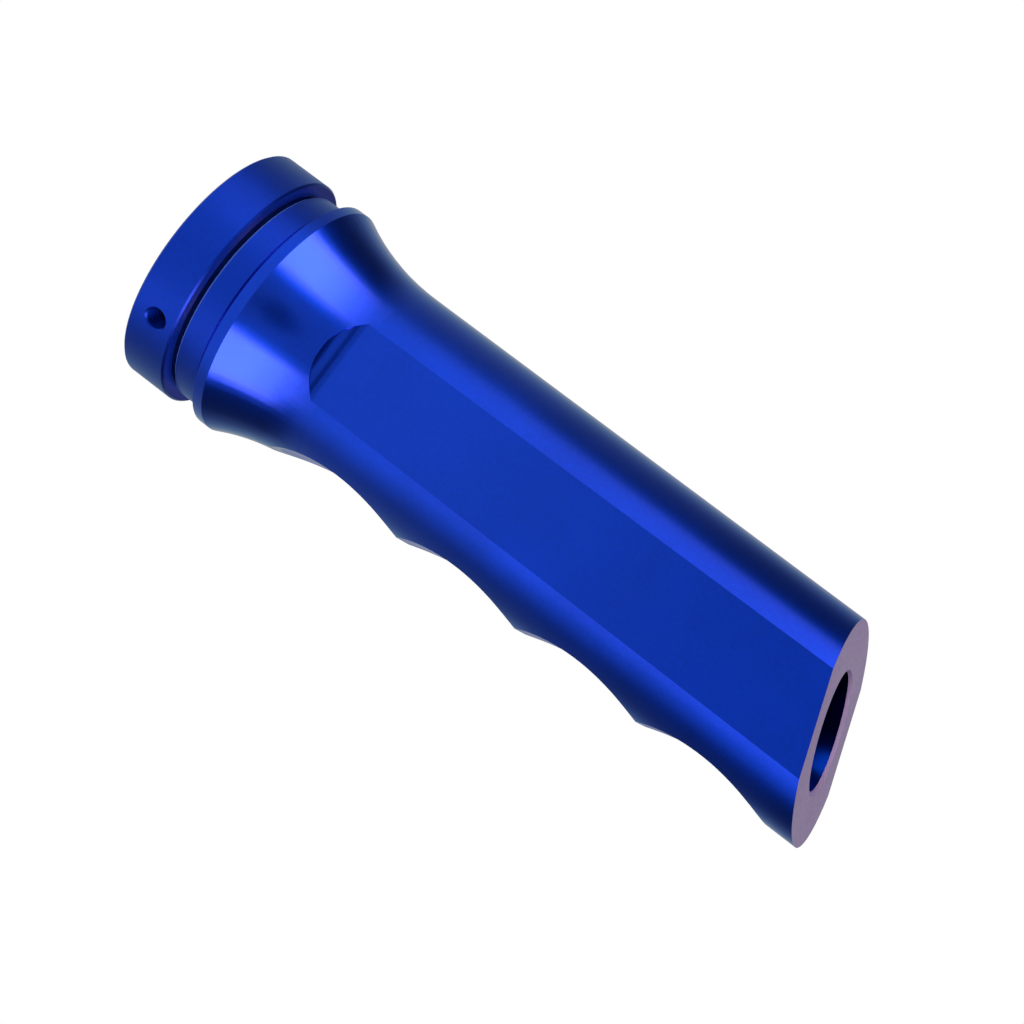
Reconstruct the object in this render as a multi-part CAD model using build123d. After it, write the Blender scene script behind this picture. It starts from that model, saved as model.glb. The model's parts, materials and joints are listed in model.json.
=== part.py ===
from build123d import *
import math
import os

# Twist throttle grip for a 22.2 mm handlebar, in millimetres.
# X runs along the bar from the collar's inboard face (x = 0) outwards, Z is up
# (palm side), the finger grooves face -Z and the two milled flats face -Y and +Y.

# Bar and the fixed tube that holds it
BAR_BORE_R = 11.2
SOCKET_R = 13.6
SOCKET_LENGTH = 30.0
SOCKET_END_WALL = 2.0

# Small allowances shared by all pieces
RUNNING_CLEARANCE = 0.07
FIT_GAP = 0.05
OVERRUN = 1.0

# Clamp collar
COLLAR_R = 20.5
COLLAR_WIDTH = 8.1
COLLAR_CHAMFER = 0.3
SEAL_POCKET_R = 18.0
SEAL_POCKET_INNER_R = 15.6
SEAL_POCKET_DEPTH = 1.3
SEAL_RECESS = 0.4

# M4 clamp screws
SCREW_X = 4.5
SCREW_ANGLES = {"set_screw_front": 214.5, "set_screw_rear": 325.5}
SCREW_HOLE_R = 1.7
THREAD_R = 2.1
THREAD_PITCH = 0.7
THREAD_TURNS = 5
THREAD_MOUTH_DEPTH = 0.25
COUNTERSINK_EXTRA_R = 0.5
COUNTERSINK_RISE = 0.9
SCREW_R = 1.65
SCREW_TIP_R = 11.5
SCREW_LENGTH = 5.5
SCREW_HEX = 2.0
SCREW_HEX_DEPTH = 2.0

# Rotating head
NECK_X = 9.0
NECK_R = 18.85
NECK_CHAMFER = 0.3
NECK_RELIEF_WIDTH = 0.8
NECK_RELIEF_DEPTH = 0.4
RIM_X = 14.1
RIM_R = 20.45
RIM_WIDTH = 2.0
RIM_CHAMFER = 0.2
FLARE_END_X = 32.8
NECK_THREAD_R = 17.6
NECK_THREAD_LENGTH = 4.0
NECK_BORE_R = 15.2
FLANGE_R = 16.6
FLANGE_THICKNESS = 0.8

# Hand grip body
BODY_R = 16.5
FLAT_Y = 14.85
FLAT_TAPER_DEG = 0.2
FLAT_START_X = 31.8
FLAT_CUTTER_R = 3.8
FLAT_PLAN_R = 9.8
FLAT_PLAN_START_X = 28.45
FLAT_CUT_DEPTH = 8.0
FLAT_CUT_LENGTH = 120.0
GROOVE_FIRST_X = 40.1
GROOVE_PITCH = 23.35
GROOVE_DEPTH = 2.6
GROOVE_CUSP_DEPTH = 0.43
GROOVE_COUNT = 4
END_TOP_X = 116.1
END_BOTTOM_X = 128.2
END_HOLE_R = 8.7
END_HOLE_CHAMFER = 0.5

# Hollow inside the grip body
HEAD_BORE_R = 15.4
HEAD_BORE_END_X = 24.0
STEP_BORE_R = 14.2
STEP_BORE_END_X = 30.6
GRIP_BORE_R = 12.25
GRIP_BORE_END_X = 108.0

# Guide tube, slider and helical sleeve
GUIDE_R = 9.0
GUIDE_BORE_R = 7.4
GUIDE_START_X = 28.0
GUIDE_END_X = 102.0
TWIST_DEG = 75.0
SLIDER_TRAVEL = 24.0
SLIDER_R = 7.35
SLIDER_START_X = 38.0
SLIDER_LENGTH = 18.0
NIPPLE_SLOT_OFFSET = 4.5
NIPPLE_SLOT_R = 2.5
SLIDER_CABLE_HOLE_R = 0.9
PIN_X = 48.0
PIN_R = 2.0
PIN_HALF_LENGTH = 11.9
ROLLER_R = 3.0
ROLLER_INNER_END = 9.45
ROLLER_OUTER_END = 11.9
STRAIGHT_SLOT_HALF = 2.15
SPIRAL_START_X = 30.8
SPIRAL_END_X = 94.0
HELIX_SLOT_HALF = 3.75
HELIX_END_CLEARANCE = 0.3
HELIX_CUT_DEPTH = 5.0
DOWEL_R = 1.2
DOWEL_LENGTH = 12.0

# Cable ferrule
FERRULE_LENGTH = 8.0
FERRULE_POCKET_DEPTH = 5.0
FERRULE_POCKET_R = 3.1
FERRULE_CABLE_HOLE_R = 1.2

# Outboard end of the mechanism
END_BUSH_START_X = 94.3
WEB_X = 102.2
WEB_END_X = 104.0
WEB_HOLE_R = 7.6
SCREW_POCKET_R = 8.9
END_SCREW_START_X = 92.0
END_WASHER_X = 104.05
END_WASHER_THICKNESS = 0.8
END_HEAD_R = 8.4
END_HEAD_END_X = 107.6
END_HEX = 8.0
END_HEX_DEPTH = 6.0

# Twist stop
STOP_PIN_X = 20.4
STOP_PIN_R = 1.5
STOP_PIN_ROOT_R = 12.2
STOP_PIN_TIP_R = 15.0
STOP_RING_CLEARANCE = 0.3
STOP_WINDOW_LENGTH = 4.2
STOP_WINDOW_SLACK_DEG = 0.6

# Return spring
SPRING_R = 5.8
SPRING_WIRE_R = 0.55
SPRING_TURNS = 7
SPRING_SEAT_THICKNESS = 1.0
SPRING_SEAT_HOLE_R = 3.0
SPRING_SEAT_CLEARANCE = 0.15


def ring(x0, x1, outer, inner=0.0):
    """A round bar or tube on the X axis between two planes."""
    body = Plane.YZ.offset(x0) * Cylinder(outer, x1 - x0, align=(Align.CENTER, Align.CENTER, Align.MIN))
    if inner > 0:
        body -= Plane.YZ.offset(x0) * Cylinder(inner, x1 - x0, align=(Align.CENTER, Align.CENTER, Align.MIN))
    return body


def radial_plane(x, angle, radius=0.0):
    """A plane at this distance from the axis, its normal pointing away from the axis."""
    out = Vector(0, math.cos(math.radians(angle)), math.sin(math.radians(angle)))
    return Plane(origin=Vector(x, 0, 0) + out * radius, x_dir=(1, 0, 0), z_dir=out)


def radial_rod(x, angle, r0, r1, rod_r):
    """A round rod that runs outwards from radius r0 to radius r1."""
    return radial_plane(x, angle, r0) * Cylinder(rod_r, r1 - r0, align=(Align.CENTER, Align.CENTER, Align.MIN))


def revolved(points):
    """A solid of revolution about X from (x, radius) corners."""
    return revolve(Plane.XZ * make_face(Polyline(*points, close=True)), Axis.X)


def hexagon_rod(plane, across_flats, length):
    """A hexagonal prism that grows along the plane's normal."""
    return extrude(plane * RegularPolygon(across_flats / 2, 6, major_radius=False), length)


def clamp_collar():
    """The fixed ring, with a seal pocket in its outboard face and two tapped clamp holes."""
    c = COLLAR_CHAMFER
    body = revolved([
        (0, SOCKET_R),
        (0, COLLAR_R - c),
        (c, COLLAR_R),
        (COLLAR_WIDTH - c, COLLAR_R),
        (COLLAR_WIDTH, COLLAR_R - c),
        (COLLAR_WIDTH, SEAL_POCKET_R + c),
        (COLLAR_WIDTH - c, SEAL_POCKET_R),
        (COLLAR_WIDTH - SEAL_POCKET_DEPTH, SEAL_POCKET_R),
        (COLLAR_WIDTH - SEAL_POCKET_DEPTH, SEAL_POCKET_INNER_R),
        (COLLAR_WIDTH, SEAL_POCKET_INNER_R),
        (COLLAR_WIDTH, SOCKET_R),
    ])
    for angle in SCREW_ANGLES.values():
        body -= radial_rod(SCREW_X, angle, SOCKET_R - OVERRUN, COLLAR_R + OVERRUN, SCREW_HOLE_R)
        body -= thread_grooves(angle)
    return body


def thread_grooves(angle):
    """The thread of a tapped hole as vee grooves, one a pitch apart, with a countersunk mouth."""
    deep = THREAD_R
    shallow = SCREW_HOLE_R - FIT_GAP
    cutters = []
    mouth = COLLAR_R - THREAD_MOUTH_DEPTH
    for turn in range(THREAD_TURNS):
        top = mouth - turn * THREAD_PITCH
        flank = THREAD_PITCH / 2
        vee = Polyline((shallow, top), (deep, top - flank), (shallow, top - 2 * flank), close=True)
        cutters.append(revolve(Plane.XZ * make_face(vee), Axis.Z))
    wide = deep + COUNTERSINK_EXTRA_R
    low = mouth - 2 * FIT_GAP
    high = low + COUNTERSINK_RISE
    cone = Polyline((0, low), (shallow, low), (wide, high), (0, high), close=True)
    cutters.append(revolve(Plane.XZ * make_face(cone), Axis.Z))
    return [radial_plane(SCREW_X, angle) * cutter for cutter in cutters]


def bar_socket():
    """The steel tube that takes the handlebar; the grip's head turns on its outside."""
    body = ring(0, SOCKET_LENGTH, SOCKET_R)
    body -= ring(0, SOCKET_LENGTH - SOCKET_END_WALL, BAR_BORE_R)
    body -= ring(SOCKET_LENGTH - SOCKET_END_WALL, SOCKET_LENGTH, GUIDE_R)
    for angle in SCREW_ANGLES.values():
        body -= radial_rod(SCREW_X, angle, BAR_BORE_R - OVERRUN, SOCKET_R + OVERRUN, SCREW_HOLE_R)
    return body - stop_pin()


def stop_pin():
    """The dowel that limits the twist."""
    return radial_rod(STOP_PIN_X, 90 + TWIST_DEG / 2, STOP_PIN_ROOT_R, STOP_PIN_TIP_R, STOP_PIN_R)


def guide_tube():
    """The slotted tube that keeps the slider straight."""
    body = ring(GUIDE_START_X, GUIDE_END_X, GUIDE_R, GUIDE_BORE_R)
    slot_length = SLIDER_TRAVEL + 2 * STRAIGHT_SLOT_HALF
    slot_height = 2 * (GUIDE_R + OVERRUN)
    slot = Pos(PIN_X + SLIDER_TRAVEL / 2, 0, 0) * Box(slot_length, 2 * STRAIGHT_SLOT_HALF, slot_height)
    return body - slot


def cable_ferrule():
    """The brass seat for the end of the cable's casing."""
    body = ring(GUIDE_START_X, GUIDE_START_X + FERRULE_LENGTH, GUIDE_BORE_R, FERRULE_CABLE_HOLE_R)
    return body - ring(GUIDE_START_X, GUIDE_START_X + FERRULE_POCKET_DEPTH, FERRULE_POCKET_R)


def dust_seal():
    """The rubber ring in the collar's pocket."""
    start = COLLAR_WIDTH - SEAL_POCKET_DEPTH
    return ring(start, COLLAR_WIDTH - SEAL_RECESS, SEAL_POCKET_R, SEAL_POCKET_INNER_R)


def thrust_washer():
    """The washer that the turning head bears against."""
    return ring(COLLAR_WIDTH, NECK_X - FIT_GAP, SEAL_POCKET_INNER_R - 2 * FIT_GAP, SOCKET_R)


def set_screw(angle):
    """A headless clamp screw with a hexagonal socket, clear of the bar."""
    outer_end = SCREW_TIP_R + SCREW_LENGTH
    body = radial_rod(SCREW_X, angle, SCREW_TIP_R, outer_end, SCREW_R)
    socket = radial_plane(SCREW_X, angle, outer_end - SCREW_HEX_DEPTH)
    return body - hexagon_rod(socket, SCREW_HEX, SCREW_HEX_DEPTH + OVERRUN)


def retaining_screw():
    """The hollow-headed screw that holds the grip on the guide tube."""
    head_x = END_WASHER_X + END_WASHER_THICKNESS
    body = ring(END_SCREW_START_X, head_x, GUIDE_BORE_R)
    body += ring(head_x, END_HEAD_END_X, END_HEAD_R)
    socket = Plane.YZ.offset(END_HEAD_END_X - END_HEX_DEPTH)
    return body - hexagon_rod(socket, END_HEX, END_HEX_DEPTH + OVERRUN)


def retaining_washer():
    """The washer under the retaining screw's head."""
    return ring(END_WASHER_X, END_WASHER_X + END_WASHER_THICKNESS, END_HEAD_R, GUIDE_BORE_R)


def return_spring():
    """The compression spring that pushes the slider back to closed."""
    start = SLIDER_START_X + SLIDER_LENGTH + SPRING_SEAT_THICKNESS + SPRING_WIRE_R + FIT_GAP
    end = END_SCREW_START_X - SPRING_WIRE_R - FIT_GAP
    path = Helix(pitch=(end - start) / SPRING_TURNS, height=end - start, radius=SPRING_R)
    coil = sweep(Plane(origin=path @ 0, z_dir=path % 0) * Circle(SPRING_WIRE_R), path=path, is_frenet=True)
    return Plane.YZ.offset(start) * coil


def neck_ring():
    """The satin ring screwed into the grip's head; it carries the head bush."""
    body = revolved([
        (NECK_X, NECK_BORE_R),
        (NECK_X, NECK_R - NECK_CHAMFER),
        (NECK_X + NECK_CHAMFER, NECK_R),
        (RIM_X - NECK_RELIEF_WIDTH, NECK_R),
        (RIM_X - NECK_RELIEF_WIDTH, NECK_R - NECK_RELIEF_DEPTH),
        (RIM_X, NECK_R - NECK_RELIEF_DEPTH),
        (RIM_X, NECK_THREAD_R),
        (RIM_X + NECK_THREAD_LENGTH, NECK_THREAD_R),
        (RIM_X + NECK_THREAD_LENGTH, NECK_BORE_R),
    ])
    return body - ring(NECK_X, NECK_X + FLANGE_THICKNESS, FLANGE_R)


def neck_bush():
    """The flanged plain bearing between the head and the bar socket."""
    bore = SOCKET_R + RUNNING_CLEARANCE
    body = ring(NECK_X, NECK_X + FLANGE_THICKNESS, FLANGE_R, bore)
    return body + ring(NECK_X + FLANGE_THICKNESS, RIM_X + NECK_THREAD_LENGTH, NECK_BORE_R, bore)


def stop_ring():
    """The ring whose window lets the stop pin travel."""
    start = RIM_X + NECK_THREAD_LENGTH
    body = ring(start, HEAD_BORE_END_X, HEAD_BORE_R, SOCKET_R + STOP_RING_CLEARANCE)
    pin_half_angle = math.degrees(math.asin(STOP_PIN_R / SOCKET_R)) + STOP_WINDOW_SLACK_DEG
    low = 90 + TWIST_DEG / 2 - TWIST_DEG - pin_half_angle
    sweep_angle = TWIST_DEG + 2 * pin_half_angle
    sector = Cylinder(HEAD_BORE_R + OVERRUN, STOP_WINDOW_LENGTH, arc_size=sweep_angle,
                      align=(Align.NONE, Align.NONE, Align.MIN))
    window = Plane.YZ.offset(start) * Rot(0, 0, low) * sector
    return body - window


def spiral_sleeve():
    """The sleeve with two helical slots that turns twist into the slider's travel."""
    body = ring(SPIRAL_START_X, SPIRAL_END_X, GRIP_BORE_R, GUIDE_R + RUNNING_CLEARANCE)
    lead_in = ROLLER_R + HELIX_END_CLEARANCE
    length = SLIDER_TRAVEL + 2 * lead_in
    degrees_per_mm = TWIST_DEG / SLIDER_TRAVEL
    start_angle = 90 + lead_in * degrees_per_mm
    middle_r = (GUIDE_R + GRIP_BORE_R) / 2
    for side in (0, 180):
        slot_section = Pos(middle_r, 0) * Rectangle(HELIX_CUT_DEPTH, 2 * HELIX_SLOT_HALF)
        section = Rot(0, 0, start_angle + side) * slot_section
        face = (Plane.YZ.offset(PIN_X - lead_in) * section).face()
        origin = (PIN_X - lead_in, 0, 0)
        body -= Solid.extrude_linear_with_rotation(face, origin, (length, 0, 0), -length * degrees_per_mm)
    return body - drive_dowel()


def drive_dowel():
    """The dowel on the joint line that makes the helical sleeve turn with the grip."""
    return Pos(0, 0, GRIP_BORE_R) * ring(STEP_BORE_END_X, STEP_BORE_END_X + DOWEL_LENGTH, DOWEL_R)


def end_bush():
    """The outboard plain bearing, with a web that the retaining washer holds."""
    body = ring(END_BUSH_START_X, GRIP_BORE_END_X, GRIP_BORE_R, WEB_HOLE_R)
    body -= ring(END_BUSH_START_X, WEB_X, GUIDE_R + RUNNING_CLEARANCE)
    return body - ring(WEB_END_X, GRIP_BORE_END_X, SCREW_POCKET_R)


def cable_slider():
    """The plunger that pulls the cable; its nipple sits in the cross slot."""
    body = ring(SLIDER_START_X, SLIDER_START_X + SLIDER_LENGTH, SLIDER_R)
    reach = SLIDER_R + OVERRUN
    nipple_x = SLIDER_START_X + NIPPLE_SLOT_OFFSET
    body -= radial_rod(PIN_X, 90, -reach, reach, PIN_R)
    body -= radial_rod(nipple_x, 0, -reach, reach, NIPPLE_SLOT_R)
    return body - ring(SLIDER_START_X, nipple_x, SLIDER_CABLE_HOLE_R)


def cross_pin():
    """The pin through the slider and both slots."""
    return radial_rod(PIN_X, 90, -PIN_HALF_LENGTH, PIN_HALF_LENGTH, PIN_R)


def follower_rollers():
    """The two rollers that run in the helical slots."""
    rollers = []
    for angle in (90, 270):
        roller = radial_rod(PIN_X, angle, ROLLER_INNER_END, ROLLER_OUTER_END, ROLLER_R)
        rollers.append(roller - radial_rod(PIN_X, angle, ROLLER_INNER_END, ROLLER_OUTER_END, PIN_R))
    return Compound(rollers)


def spring_seat():
    """The washer between the spring and the slider."""
    start = SLIDER_START_X + SLIDER_LENGTH
    outer = SLIDER_R - SPRING_SEAT_CLEARANCE
    return ring(start, start + SPRING_SEAT_THICKNESS, outer, SPRING_SEAT_HOLE_R)


def grip_blank():
    """The turned outside of the grip: rim, concave flare and straight body."""
    flare_x = RIM_X + RIM_WIDTH
    run = FLARE_END_X - flare_x
    drop = RIM_R - BODY_R
    flare_r = (run * run + drop * drop) / (2 * drop)
    middle_x = (flare_x + FLARE_END_X) / 2
    middle_r = BODY_R + flare_r - math.sqrt(flare_r ** 2 - (FLARE_END_X - middle_x) ** 2)
    outline = Polyline(
        (FLARE_END_X, BODY_R),
        (END_BOTTOM_X + OVERRUN, BODY_R),
        (END_BOTTOM_X + OVERRUN, 0),
        (RIM_X, 0),
        (RIM_X, RIM_R - RIM_CHAMFER),
        (RIM_X + RIM_CHAMFER, RIM_R),
        (flare_x, RIM_R),
    )
    flare = ThreePointArc((flare_x, RIM_R), (middle_x, middle_r), (FLARE_END_X, BODY_R))
    return revolve(Plane.XZ * make_face(outline + flare), Axis.X)


def finger_grooves():
    """Round-bottomed cutters, one after another along the underside, that meet in low cusps."""
    half = GROOVE_PITCH / 2
    rise = GROOVE_DEPTH - GROOVE_CUSP_DEPTH
    radius = (half * half + rise * rise) / (2 * rise)
    cutters = []
    for index in range(GROOVE_COUNT):
        x = GROOVE_FIRST_X + index * GROOVE_PITCH
        z = GROOVE_DEPTH - BODY_R - radius
        cutters.append(Pos(x, 0, z) * Rot(90, 0, 0) * Cylinder(radius, 4 * BODY_R))
    return cutters


def side_flat(side):
    """A milled flat, slightly deeper outboard, that starts in the round of the cutter."""
    start = Pos(FLAT_START_X, side * FLAT_Y, 0) * Rot(0, 0, -side * FLAT_TAPER_DEG)
    cut = Box(FLAT_CUT_LENGTH, FLAT_CUT_DEPTH, 4 * BODY_R, align=(Align.MIN, Align.CENTER, Align.CENTER))
    slab = Pos(0, side * FLAT_CUT_DEPTH / 2, 0) * cut
    run_out = Pos(0, side * FLAT_CUTTER_R, 0) * Cylinder(FLAT_CUTTER_R, 4 * BODY_R)
    return start * (slab + run_out) & flat_plan()


def flat_plan():
    """The flat's outline seen square on: a long slot with a round inboard end."""
    centre_x = FLAT_PLAN_START_X + FLAT_PLAN_R
    through = 4 * BODY_R
    nose = Rot(90, 0, 0) * Cylinder(FLAT_PLAN_R, through)
    sides = Box(FLAT_CUT_LENGTH, through, 2 * FLAT_PLAN_R, align=(Align.MIN, Align.CENTER, Align.CENTER))
    return Pos(centre_x, 0, 0) * (nose + sides)


def grip_sleeve():
    """The hand grip itself."""
    body = grip_blank()
    for cutter in finger_grooves():
        body -= cutter
    for side in (-1, 1):
        body -= side_flat(side)
    body -= oblique_end()
    body -= ring(RIM_X, RIM_X + NECK_THREAD_LENGTH, NECK_THREAD_R)
    body -= ring(RIM_X, HEAD_BORE_END_X, HEAD_BORE_R)
    body -= ring(RIM_X, STEP_BORE_END_X, STEP_BORE_R)
    body -= ring(RIM_X, GRIP_BORE_END_X, GRIP_BORE_R)
    body -= ring(RIM_X, END_BOTTOM_X + OVERRUN, END_HOLE_R)
    end_face = body.faces().sort_by(Axis.X)[-1]
    body = chamfer(end_face.inner_wires().edges(), END_HOLE_CHAMFER)
    return body - drive_dowel()


def oblique_end():
    """Everything beyond the sloping end face, which is longer on the finger side."""
    slope = Plane.XZ * make_face(Polyline(
        (END_TOP_X, BODY_R),
        (END_BOTTOM_X, -BODY_R),
        (END_BOTTOM_X + BODY_R, -BODY_R),
        (END_BOTTOM_X + BODY_R, BODY_R),
        close=True,
    ))
    return extrude(slope, 2 * BODY_R, both=True)


PARTS = {
    "clamp_collar": clamp_collar,
    "bar_socket": bar_socket,
    "stop_pin": stop_pin,
    "guide_tube": guide_tube,
    "cable_ferrule": cable_ferrule,
    "dust_seal": dust_seal,
    "thrust_washer": thrust_washer,
    "retaining_screw": retaining_screw,
    "retaining_washer": retaining_washer,
    "return_spring": return_spring,
    "grip_sleeve": grip_sleeve,
    "neck_ring": neck_ring,
    "neck_bush": neck_bush,
    "stop_ring": stop_ring,
    "spiral_sleeve": spiral_sleeve,
    "drive_dowel": drive_dowel,
    "end_bush": end_bush,
    "cable_slider": cable_slider,
    "cross_pin": cross_pin,
    "follower_rollers": follower_rollers,
    "spring_seat": spring_seat,
}

os.makedirs("parts", exist_ok=True)
for node, make in PARTS.items():
    export_step(make(), f"parts/{node}.step")
for node, angle in SCREW_ANGLES.items():
    export_step(set_screw(angle), f"parts/{node}.step")
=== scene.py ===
import math
import json

import bmesh
import bpy
from mathutils import Matrix, Vector


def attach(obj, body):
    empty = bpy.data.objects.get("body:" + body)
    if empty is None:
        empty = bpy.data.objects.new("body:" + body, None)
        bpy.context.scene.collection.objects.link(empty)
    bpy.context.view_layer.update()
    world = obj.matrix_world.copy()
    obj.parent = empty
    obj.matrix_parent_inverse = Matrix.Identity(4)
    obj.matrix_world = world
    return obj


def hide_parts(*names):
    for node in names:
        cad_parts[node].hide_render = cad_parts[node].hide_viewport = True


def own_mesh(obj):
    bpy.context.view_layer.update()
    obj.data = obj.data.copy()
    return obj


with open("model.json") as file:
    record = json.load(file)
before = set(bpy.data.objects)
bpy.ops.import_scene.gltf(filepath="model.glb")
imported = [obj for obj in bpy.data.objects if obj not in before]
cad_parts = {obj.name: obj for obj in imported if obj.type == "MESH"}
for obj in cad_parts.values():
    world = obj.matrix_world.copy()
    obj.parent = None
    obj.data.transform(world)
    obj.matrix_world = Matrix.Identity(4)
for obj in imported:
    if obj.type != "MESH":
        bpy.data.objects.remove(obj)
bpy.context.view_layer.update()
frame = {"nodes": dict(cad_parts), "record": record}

# Lengths are in metres. A pair (start, end) is where a smooth step starts and where it is complete. A set of
# four is a band, which rises between the first two and falls between the last two.
ALONG = (1, 0, 0)
ACROSS = (0, 1, 0)
UP = (0, 0, 1)
WHITE = (1, 1, 1)

# Camera: a long lens a little outboard of square on, rolled so that the grip points down to the right.
AZIMUTH = 15.90
ELEVATION = 0.71
ROLL = 37.0
DISTANCE = 0.5748
TARGET = Vector((0.0604, 0.0, -0.0013))
SENSOR = 36.0
LENS = 133.25
SHIFT_X = 0.0077
SHIFT_Y = -0.0151
CLIP_START = 0.01

# Room light by direction, at the collar end and at the outboard end of each span
FRONT_SPAN = (-0.33, -0.12)
FRONT_INBOARD = 0.66
FRONT_OUTBOARD = 0.41
SIDE_SPAN = (-0.34, -0.14)
SIDE_INBOARD = 0.30
SIDE_OUTBOARD = 0.06
BEHIND_SPAN = (0.2, 0.32)
BEHIND_INBOARD = 0.36
BEHIND_OUTBOARD = 0.08
FRONT_TO_SIDE = (62, 100)
SIDE_TO_BEHIND = (112, 165)
STRAIGHT_BACK = (150, 172)
GLOW_SPAN = (-0.8, -0.93)
INBOARD_GLOW = 0.15
SHADE_SPAN = (0.84, 0.97)
SHADE_HEIGHT = (0.5, 0.25)
OUTBOARD_SHADE = 0.85

# A darker disc about the camera's side: its azimuth, its edge and its core in degrees, and its level
SPOT_AZIMUTH = 18.0
SPOT_EDGE = 14.0
SPOT_CORE = 4.0
SPOT_LEVEL = 0.35

# The two soft boxes, above and below, and the places where they are cut away
BOX_LEVEL = 3.2
BOX_DROP = 0.03
BOX_BAND = (30, 40, 76, 88)
BOX_FADE = (-0.36, 0.27)
BOX_GAP = (0.5, 0.66, 0.74, 0.84)
END_ON_X = (0.7, 0.82)
END_ON_Z = (-0.3, -0.12)
END_ON_CORE = (0.915, 0.945)
LOW_END_Z = (0.0, -0.2)
LOW_END_X = (0.02, -0.2)
LOW_END_ROUND = (58, 76)
LOW_END_LOSS = (0.1, 0.95)

ROOM_TINT = (0.6, 0.97, 1.0)
BACK_TINT = (1.08, 1.08, 1.15)
BOX_TINT = (1.6, 1.0, 1.0)

FLOOR_Z = -1.2
FLOOR_HALF = 3.0

# The blue dye and the clear film over it
DYE = (0.0006, 0.052, 0.74)
SATIN_DYE = (0.0005, 0.040, 0.56)
DYE_SPREAD = (0.9, 1.1)
GLOSS_SPREAD = 0.03
FILM_IOR = 1.33
# Blue tint of the reflection where painted shade takes the film away: the far side, the finger grooves and
# the bore
UNDER_FILM_TINT = (0.2, 0.5, 1.0)
# Painted shade: the film's reflection is turned down on the far side, and the film and the dye towards the
# outboard end
REAR_FADE = (0.05, 0.35)
REAR_SHADE_LOSS = 0.75
OUTER_END = (0.045, 0.125)
OUTER_SHADE_FILM = 0.65
OUTER_SHADE_DYE = 0.92
FLAT_FACING = (0.9985, 0.9995)

# The collar and the neck ring: painted shade in the gap between them and on the collar's outboard face, and
# a painted highlight on the neck ring's edge
SATIN_FILM = 0.6
RECESS_R = (0.0202, 0.0199)
RECESS_X = (0.0088, 0.0086)
RECESS_PAINTED_SHADE = (0.0004, 0.012, 0.20)
FACE_X = (0.0065, 0.0067)
FACE_PAINTED_SHADE = (0.001, 0.035, 0.42)
RIM_X = (0.0088, 0.0089, 0.00925, 0.00935)
RIM_R = (0.0183, 0.0185)
RIM_PAINTED_HIGHLIGHT = (0.16, 0.33, 0.95)
RIM_METALLIC = 0.25

# The sleeve: a painted sheen on its slanted end face, a painted highlight on that face's outer edge, painted
# shade in the end bore and the finger grooves
END_SLOPE = math.atan2(0.0121, 0.033)
END_NORMAL = (math.cos(END_SLOPE), 0.0, math.sin(END_SLOPE))
END_FACING = (0.9, 0.97)
END_FACE_X = (0.112, 0.113)
END_PAINTED_SHEEN = (0.265, 0.19, 0.47)
END_PAINTED_SHEEN_PALE = (0.32, 0.235, 0.56)
END_METALLIC = 0.3
EDGE_FACING = (0.5, 0.6, 0.8, 0.9)
EDGE_X = (0.108, 0.109)
EDGE_R = (0.0105, 0.0100)
EDGE_PAINTED_HIGHLIGHT = (0.33, 0.28, 0.50)
EDGE_ROUGHNESS = 0.6
BORE_R = (0.0089, 0.0088)
BORE_PAINTED_SHADE = (0.0004, 0.026, 0.32)
GROOVE_SIDEWAYS = (0.06, 0.03)
GROOVE_R = (0.01645, 0.01635)
GROOVE_DOWN = (-0.5, -0.6)
GROOVE_SHADE_FILM = 0.6

# The other materials
SPRING_GREY = (0.30, 0.31, 0.33)
SCREW_BLACK = (0.02, 0.02, 0.022)
SCREW_WORN = (0.11, 0.105, 0.10)
RUBBER = (0.002, 0.020, 0.20)
RUBBER_BLOOM = (0.003, 0.030, 0.26)
RUBBER_TINT = (0.1, 0.25, 1.0)
ACETAL = (0.80, 0.79, 0.75)
ACETAL_CLOUD = (0.72, 0.71, 0.66)
TARNISH = 0.82

# Return spring: it fills the space between the slider's seat and the retaining screw.
SPRING_START = 0.05705
SPRING_END = 0.09195
SPRING_R = 0.0058
SPRING_WIRE_R = 0.00055
SPRING_TURNS = 7
STEPS_PER_TURN = 32
STEPS_ROUND_WIRE = 10


def direction(azimuth, elevation):
    """The unit vector from the object towards a viewer at this azimuth and elevation, in degrees."""
    a, e = math.radians(azimuth), math.radians(elevation)
    return Vector((math.sin(a) * math.cos(e), -math.cos(a) * math.cos(e), math.sin(e)))


def scaled(colour, factor):
    return tuple(channel * factor for channel in colour)


def place_object(name, data):
    """A new object with this data, in the scene."""
    placed = bpy.data.objects.new(name, data)
    bpy.context.scene.collection.objects.link(placed)
    return placed


def add_camera():
    data = bpy.data.cameras.new("camera")
    data.lens = LENS
    data.sensor_width = SENSOR
    data.shift_x = SHIFT_X
    data.shift_y = SHIFT_Y
    data.clip_start = CLIP_START
    camera = place_object("camera", data)
    back = direction(AZIMUTH, ELEVATION)
    upright = back.to_track_quat("Z", "Y").to_matrix()
    turned = upright @ Matrix.Rotation(math.radians(ROLL), 3, "Z")
    camera.matrix_world = Matrix.Translation(TARGET + back * DISTANCE) @ turned.to_4x4()
    bpy.context.scene.camera = camera


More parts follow.
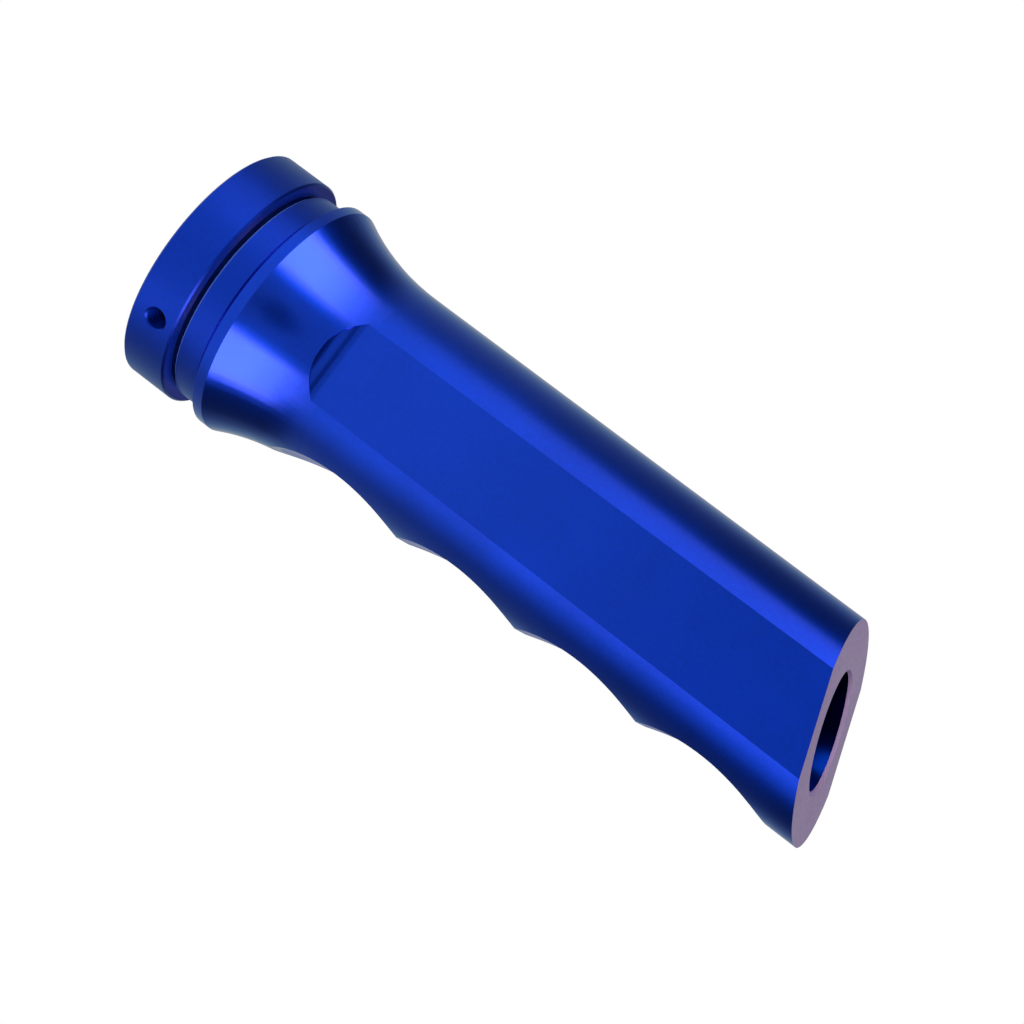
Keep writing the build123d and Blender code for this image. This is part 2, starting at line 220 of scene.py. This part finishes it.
class Tree:
    """A short way to write a node tree."""

    def __init__(self, owner, output):
        owner.use_nodes = True
        self.tree = owner.node_tree
        self.tree.nodes.clear()
        self.output = self.tree.nodes.new(output)

    def add(self, kind, **settings):
        node = self.tree.nodes.new("ShaderNode" + kind)
        for key, value in settings.items():
            setattr(node, key, value)
        return node

    def put(self, value, socket):
        """Link a socket, or set a plain value."""
        if hasattr(value, "links"):
            self.tree.links.new(value, socket)
        else:
            socket.default_value = value

    def math(self, operation, *values):
        node = self.add("Math", operation=operation)
        for socket, value in zip(node.inputs, values):
            self.put(value, socket)
        return node.outputs[0]

    def product(self, first, *others):
        for other in others:
            first = self.math("MULTIPLY", first, other)
        return first

    def most(self, first, *others):
        """The largest of the values."""
        for other in others:
            first = self.math("MAXIMUM", first, other)
        return first

    def less(self, value, share):
        """The value with this share of it taken away."""
        return self.product(value, self.math("SUBTRACT", 1.0, share))

    def dot(self, vector, other):
        node = self.add("VectorMath", operation="DOT_PRODUCT")
        self.put(vector, node.inputs[0])
        self.put(other, node.inputs[1])
        return node.outputs["Value"]

    def times(self, vector, factors):
        node = self.add("VectorMath", operation="MULTIPLY")
        self.put(vector, node.inputs[0])
        self.put(factors, node.inputs[1])
        return node.outputs[0]

    def step(self, value, start, end, low=0.0, high=1.0):
        """A smooth step from low, at start, to high, at end."""
        node = self.add("MapRange", interpolation_type="SMOOTHSTEP")
        self.put(value, node.inputs["Value"])
        node.inputs["From Min"].default_value = start
        node.inputs["From Max"].default_value = end
        self.put(low, node.inputs["To Min"])
        self.put(high, node.inputs["To Max"])
        return node.outputs[0]

    def band(self, value, limits):
        """1 inside the band and 0 outside it."""
        rise_from, rise_to, fall_from, fall_to = limits
        return self.product(self.step(value, rise_from, rise_to), self.step(value, fall_to, fall_from))

    def blend(self, factor, a, b):
        """Colour a where the factor is 0 and colour b where it is 1."""
        node = self.add("Mix", data_type="RGBA")
        self.put(factor, node.inputs["Factor"])
        for socket, value in ((node.inputs[6], a), (node.inputs[7], b)):
            self.put(value if hasattr(value, "links") else (*value, 1), socket)
        return node.outputs[2]

    def noise(self, vector, scale, detail=2.0, roughness=0.5):
        node = self.add("TexNoise")
        self.put(vector, node.inputs["Vector"])
        node.inputs["Scale"].default_value = scale
        node.inputs["Detail"].default_value = detail
        node.inputs["Roughness"].default_value = roughness
        return node.outputs["Fac"]


class Finish(Tree):
    """A material whose surface is one Principled shader, with coordinates fixed to the piece."""

    def __init__(self, name, base, metallic, roughness):
        self.material = bpy.data.materials.new(name)
        super().__init__(self.material, "ShaderNodeOutputMaterial")
        self.shader = self.add("BsdfPrincipled")
        self.put(self.shader.outputs[0], self.output.inputs[0])
        self.set("Base Color", (*base, 1))
        self.set("Metallic", metallic)
        self.set("Roughness", roughness)
        coords = self.add("TexCoord")
        self.place = coords.outputs["Object"]
        self.normal = coords.outputs["Normal"]

    def set(self, name, value):
        self.put(value, self.shader.inputs[name])

    def bump(self, height, distance):
        node = self.add("Bump")
        node.inputs["Distance"].default_value = distance
        node.inputs["Strength"].default_value = 1.0
        self.put(height, node.inputs["Height"])
        self.set("Normal", node.outputs[0])


class Anodised(Finish):
    """Blue anodised aluminium: dyed metal under a clear oxide film, with fine turning lines."""

    def __init__(self, name, base, roughness, coat_roughness, line_depth):
        super().__init__(name, base, 1.0, roughness)
        self.set("Coat Roughness", coat_roughness)
        self.set("Coat IOR", FILM_IOR)
        self.x = self.dot(self.place, ALONG)
        squares = [self.math("POWER", self.dot(self.place, axis), 2.0) for axis in (ACROSS, UP)]
        self.radius = self.math("SQRT", self.math("ADD", *squares))

        # Turning lines run round the axis; on a milled flat the cutter's lines run along it.
        flat = self.step(self.math("ABSOLUTE", self.dot(self.normal, ACROSS)), *FLAT_FACING)
        turned = self.noise(self.times(self.place, (1.0, 0.012, 0.012)), 5200, 3.0, 0.6)
        milled = self.noise(self.times(self.place, (0.02, 0.02, 1.0)), 3600, 3.0, 0.6)
        lines = self.add("Mix", data_type="FLOAT")
        self.put(flat, lines.inputs["Factor"])
        self.put(turned, lines.inputs[2])
        self.put(milled, lines.inputs[3])
        self.bump(lines.outputs[0], line_depth)

        # The dye took a little unevenly, and the film's gloss drifts with it.
        drift = self.noise(self.place, 55, 4.0, 0.55)
        self.grain = self.noise(self.place, 1500, 2.0, 0.6)
        tone = self.math("ADD", self.product(drift, 0.6), self.product(self.grain, 0.4))
        dye = self.blend(self.step(tone, 0.3, 0.7), *(scaled(base, share) for share in DYE_SPREAD))
        self.gloss = self.step(drift, 0.25, 0.75, roughness - GLOSS_SPREAD, roughness + GLOSS_SPREAD)

        # The film's reflection is turned down on the far side and towards the outboard end, and the dye is
        # darker towards the outboard end. This is painted shade, set for the look: the rims would wash out
        # against the white surroundings, and the outboard end would be too pale.
        self.rear_shade = self.step(self.dot(self.normal, ACROSS), *REAR_FADE)
        outer_film = self.step(self.x, *OUTER_END, 1.0, OUTER_SHADE_FILM)
        self.film = self.less(outer_film, self.product(self.rear_shade, REAR_SHADE_LOSS))
        self.dye = self.times(dye, self.step(self.x, *OUTER_END, 1.0, OUTER_SHADE_DYE))


def satin_blue():
    """The collar and the neck ring, with painted shade in the gap between them and a painted highlight on
    the neck ring's edge, set for the look.
    """
    f = Anodised("satin_blue_anodised", SATIN_DYE, 0.36, 0.28, 2.5e-6)
    # Painted shade: the gap between collar and neck ring is dark navy; the collar's outboard face is a
    # lighter painted shade, partly matt.
    recess_shade = f.product(f.step(f.radius, *RECESS_R), f.step(f.x, *RECESS_X))
    # Painted highlight: a pale, partly matt line on the neck ring's inboard edge.
    rim_highlight = f.product(f.band(f.x, RIM_X), f.step(f.radius, *RIM_R))
    face = f.product(recess_shade, f.step(f.x, *FACE_X))
    dye = f.blend(recess_shade, f.dye, RECESS_PAINTED_SHADE)
    dye = f.blend(rim_highlight, dye, RIM_PAINTED_HIGHLIGHT)
    f.set("Base Color", f.blend(face, dye, FACE_PAINTED_SHADE))
    f.set("Roughness", f.gloss)
    f.set("Metallic", f.step(f.most(rim_highlight, face), 0.0, 1.0, 1.0, RIM_METALLIC))
    # Painted shade: no film in the gap, and the reflection is turned down and tinted blue on the far side.
    f.set("Coat Weight", f.less(f.product(f.film, SATIN_FILM), recess_shade))
    f.set("Specular Tint", f.blend(f.rear_shade, WHITE, UNDER_FILM_TINT))
    return f.material


def sleeve_blue():
    """The sleeve, with a painted sheen on the end face, a painted highlight on its edge, and painted shade
    in the bore and the finger grooves, set for the look.
    """
    f = Anodised("blue_anodised", DYE, 0.22, 0.12, 1.2e-6)
    slant = f.dot(f.normal, END_NORMAL)
    # Painted sheen: the slanted end face is pale lilac and partly matt, with no film.
    end = f.product(f.step(slant, *END_FACING), f.step(f.x, *END_FACE_X))
    # Painted highlight: the end face's outer edge is pale, rough and partly matt, with no film.
    edge = f.product(f.band(slant, EDGE_FACING), f.step(f.x, *EDGE_X), f.step(f.radius, *EDGE_R))
    # Painted shade: the inside of the bore is darker and has no film.
    bore = f.step(f.radius, *BORE_R)
    # Painted shade: the film is turned down and the reflection tinted blue in the bottoms of the finger
    # grooves.
    sideways = f.math("ABSOLUTE", f.dot(f.normal, ACROSS))
    groove = f.product(f.step(sideways, *GROOVE_SIDEWAYS), f.step(f.radius, *GROOVE_R),
                       f.step(f.dot(f.normal, UP), *GROOVE_DOWN))
    dye = f.blend(bore, f.dye, BORE_PAINTED_SHADE)
    dye = f.blend(end, dye, f.blend(f.step(f.grain, 0.3, 0.7), END_PAINTED_SHEEN, END_PAINTED_SHEEN_PALE))
    f.set("Base Color", f.blend(edge, dye, EDGE_PAINTED_HIGHLIGHT))
    f.set("Roughness", f.step(edge, 0.0, 1.0, f.gloss, EDGE_ROUGHNESS))
    f.set("Metallic", f.step(f.most(end, edge), 0.0, 1.0, 1.0, END_METALLIC))
    # Painted shade: less film in the finger grooves and on the far side, none in the bore; the painted sheen
    # and highlight on the end face and its edge have no film.
    film = f.product(f.film, f.step(groove, 0.0, 1.0, 1.0, GROOVE_SHADE_FILM))
    f.set("Coat Weight", f.less(film, f.most(end, bore, edge)))
    f.set("Specular Tint", f.blend(f.most(groove, bore, f.rear_shade), WHITE, UNDER_FILM_TINT))
    return f.material


def machined(name, base, roughness):
    """Turned metal: a lathe's fine rings round the axis and a little tarnish."""
    f = Finish(name, base, 1.0, roughness)
    rings = f.noise(f.times(f.place, (1.0, 0.02, 0.02)), 4200, 3.0, 0.6)
    f.bump(rings, 2e-6)
    drift = f.noise(f.place, 180, 4.0, 0.6)
    f.set("Base Color", f.blend(f.step(drift, 0.35, 0.7), base, scaled(base, TARNISH)))
    f.set("Roughness", f.step(drift, 0.3, 0.7, roughness - 0.04, roughness + 0.06))
    return f.material


def spring_steel():
    """Drawn wire: dark blue-grey, a little uneven in its polish."""
    f = Finish("spring_steel", SPRING_GREY, 1.0, 0.32)
    drift = f.noise(f.place, 600, 3.0, 0.6)
    f.set("Roughness", f.step(drift, 0.3, 0.7, 0.26, 0.4))
    f.bump(f.noise(f.place, 5000), 2e-6)
    return f.material


def black_steel():
    """Black-oxide screws, worn brighter on raised grain."""
    f = Finish("black_steel", SCREW_BLACK, 1.0, 0.42)
    grain = f.noise(f.place, 2600, 4.0, 0.65)
    worn = f.step(grain, 0.62, 0.72)
    f.set("Base Color", f.blend(worn, SCREW_BLACK, SCREW_WORN))
    f.set("Roughness", f.step(grain, 0.3, 0.7, 0.36, 0.5))
    f.bump(grain, 4e-6)
    return f.material


def rubber():
    """Moulded blue-black rubber: matt, with a faint pebble and a dusty bloom."""
    f = Finish("black_rubber", RUBBER, 0.0, 0.8)
    f.set("Specular IOR Level", 0.05)
    f.set("Specular Tint", (*RUBBER_TINT, 1.0))
    pebble = f.noise(f.place, 2400, 3.0, 0.6)
    bloom = f.noise(f.place, 160, 3.0, 0.6)
    f.set("Base Color", f.blend(f.step(bloom, 0.45, 0.75), RUBBER, RUBBER_BLOOM))
    f.set("Roughness", f.step(pebble, 0.3, 0.7, 0.66, 0.82))
    f.bump(pebble, 1.2e-5)
    return f.material


def acetal():
    """Turned white acetal: a little light passes into it, and the tool leaves faint rings."""
    f = Finish("acetal", ACETAL, 0.0, 0.38)
    f.set("Subsurface Weight", 0.15)
    f.set("Subsurface Scale", 0.001)
    rings = f.noise(f.times(f.place, (1.0, 0.02, 0.02)), 3000)
    cloud = f.noise(f.place, 120, 3.0)
    f.set("Base Color", f.blend(f.step(cloud, 0.3, 0.7), ACETAL, ACETAL_CLOUD))
    f.set("Roughness", f.step(rings, 0.3, 0.7, 0.34, 0.44))
    f.bump(rings, 5e-6)
    return f.material


def coil_spring():
    """The return spring as a wire wound in an even helix, standing for the CAD coil."""
    mesh = bmesh.new()
    count = SPRING_TURNS * STEPS_PER_TURN
    length = SPRING_END - SPRING_START
    along = Vector(ALONG)
    rings = []
    for i in range(count + 1):
        t = i / count
        turn = 2 * math.pi * SPRING_TURNS * t
        out = Vector((0, math.cos(turn), math.sin(turn)))
        centre = along * (SPRING_START + length * t) + out * SPRING_R
        ring = []
        for k in range(STEPS_ROUND_WIRE):
            a = 2 * math.pi * k / STEPS_ROUND_WIRE
            ring.append(mesh.verts.new(centre + (out * math.cos(a) + along * math.sin(a)) * SPRING_WIRE_R))
        rings.append(ring)
    for first, second in zip(rings, rings[1:]):
        for k in range(STEPS_ROUND_WIRE):
            after = (k + 1) % STEPS_ROUND_WIRE
            mesh.faces.new((first[k], first[after], second[after], second[k]))
    mesh.faces.new(rings[0])
    mesh.faces.new(list(reversed(rings[-1])))
    bmesh.ops.recalc_face_normals(mesh, faces=mesh.faces)
    for face in mesh.faces:
        face.smooth = len(face.verts) == 4
    data = bpy.data.meshes.new("coil_spring")
    mesh.to_mesh(data)
    mesh.free()
    return place_object("coil_spring", data)


def add_world():
    """The studio as light by direction, measured round the grip's axis, and white to the camera.

    round_axis is 0 towards the camera's side, 90 straight up or down and 180 behind the grip.
    """
    world = bpy.data.worlds.new("studio")
    bpy.context.scene.world = world
    w = Tree(world, "ShaderNodeOutputWorld")
    toward = w.add("TexCoord").outputs["Generated"]
    split = w.add("SeparateXYZ")
    w.put(toward, split.inputs[0])
    x, y, z = split.outputs
    height = w.math("ABSOLUTE", w.math("SUBTRACT", z, BOX_DROP))
    round_axis = w.math("DEGREES", w.math("ARCTAN2", height, w.product(y, -1.0)))

    # The room: pale grey in front, dark above and below, a little paler behind; all paler towards the collar
    # end, with a faint glow straight inboard and a shade straight outboard.
    front = w.step(x, *FRONT_SPAN, FRONT_INBOARD, FRONT_OUTBOARD)
    side = w.step(x, *SIDE_SPAN, SIDE_INBOARD, SIDE_OUTBOARD)
    behind = w.step(x, *BEHIND_SPAN, BEHIND_INBOARD, BEHIND_OUTBOARD)
    room = w.step(round_axis, *FRONT_TO_SIDE, front, w.step(round_axis, *SIDE_TO_BEHIND, side, behind))
    spot_edge, spot_core = (math.cos(math.radians(angle)) for angle in (SPOT_EDGE, SPOT_CORE))
    spot = w.step(w.dot(toward, direction(SPOT_AZIMUTH, 0)), spot_edge, spot_core, 1.0, SPOT_LEVEL)
    room = w.math("ADD", w.product(room, spot), w.step(x, *GLOW_SPAN, 0.0, INBOARD_GLOW))
    room = w.less(room, w.product(w.step(x, *SHADE_SPAN), w.step(height, *SHADE_HEIGHT), OUTBOARD_SHADE))

    # Two soft boxes, above and below, that fade out towards the collar end.
    box = w.product(w.band(round_axis, BOX_BAND), w.step(x, *BOX_FADE, 0.0, BOX_LEVEL))
    end_on = w.most(w.product(w.step(x, *END_ON_X), w.step(z, *END_ON_Z)), w.step(x, *END_ON_CORE))
    box = w.less(box, w.most(w.band(x, BOX_GAP), end_on))
    low_end = w.product(w.step(z, *LOW_END_Z), w.step(x, *LOW_END_X),
                        w.step(round_axis, *LOW_END_ROUND, *LOW_END_LOSS))
    box = w.less(box, low_end)

    # The camera sees plain white; everything else sees the room and the boxes.
    seen = w.add("Background")
    lit = w.add("Background")
    mix = w.add("MixShader")
    path = w.add("LightPath")
    tint = w.add("CombineColor")
    straight_back = w.step(round_axis, *STRAIGHT_BACK)
    for socket, room_share, back_share, box_share in zip(tint.inputs, ROOM_TINT, BACK_TINT, BOX_TINT):
        share = w.math("MULTIPLY_ADD", straight_back, back_share - room_share, room_share)
        w.put(w.math("MULTIPLY_ADD", room, share, w.product(box, box_share)), socket)
    seen.inputs[0].default_value = (*WHITE, 1)
    w.put(tint.outputs[0], lit.inputs[0])
    w.put(path.outputs["Is Camera Ray"], mix.inputs[0])
    w.put(lit.outputs[0], mix.inputs[1])
    w.put(seen.outputs[0], mix.inputs[2])
    w.put(mix.outputs[0], w.output.inputs[0])


def add_floor():
    """A plain white floor, far enough below for a camera to look up at the grip."""
    material = bpy.data.materials.new("floor")
    n = Tree(material, "ShaderNodeOutputMaterial")
    glow = n.add("Emission")
    glow.inputs[0].default_value = (*WHITE, 1)
    n.put(glow.outputs[0], n.output.inputs[0])
    mesh = bpy.data.meshes.new("floor")
    corners = [(x * FLOOR_HALF, y * FLOOR_HALF, FLOOR_Z) for x, y in ((-1, -1), (1, -1), (1, 1), (-1, 1))]
    mesh.from_pydata(corners, [], [(0, 1, 2, 3)])
    mesh.materials.append(material)
    floor = place_object("floor", mesh)
    floor.visible_diffuse = False
    floor.visible_glossy = False
    floor.visible_shadow = False


add_camera()
add_world()
add_floor()
bpy.context.scene.view_settings.view_transform = "Standard"

FINISHES = {
    "blue_anodised": sleeve_blue(),
    "satin_blue_anodised": satin_blue(),
    "steel": machined("steel", (0.52, 0.52, 0.53), 0.3),
    "aluminium": machined("aluminium", (0.80, 0.80, 0.81), 0.34),
    "brass": machined("brass", (0.72, 0.50, 0.20), 0.28),
    "spring_steel": spring_steel(),
    "black_steel": black_steel(),
    "black_rubber": rubber(),
    "acetal": acetal(),
}
slots = {piece["node"]: piece["material_slot"] for piece in frame["record"]["subparts"]}
for node, piece in frame["nodes"].items():
    piece.data.materials.clear()
    piece.data.materials.append(FINISHES[slots[node]])

spring = coil_spring()
spring.data.materials.append(FINISHES["spring_steel"])
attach(spring, "root")
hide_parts("return_spring")
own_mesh(spring)
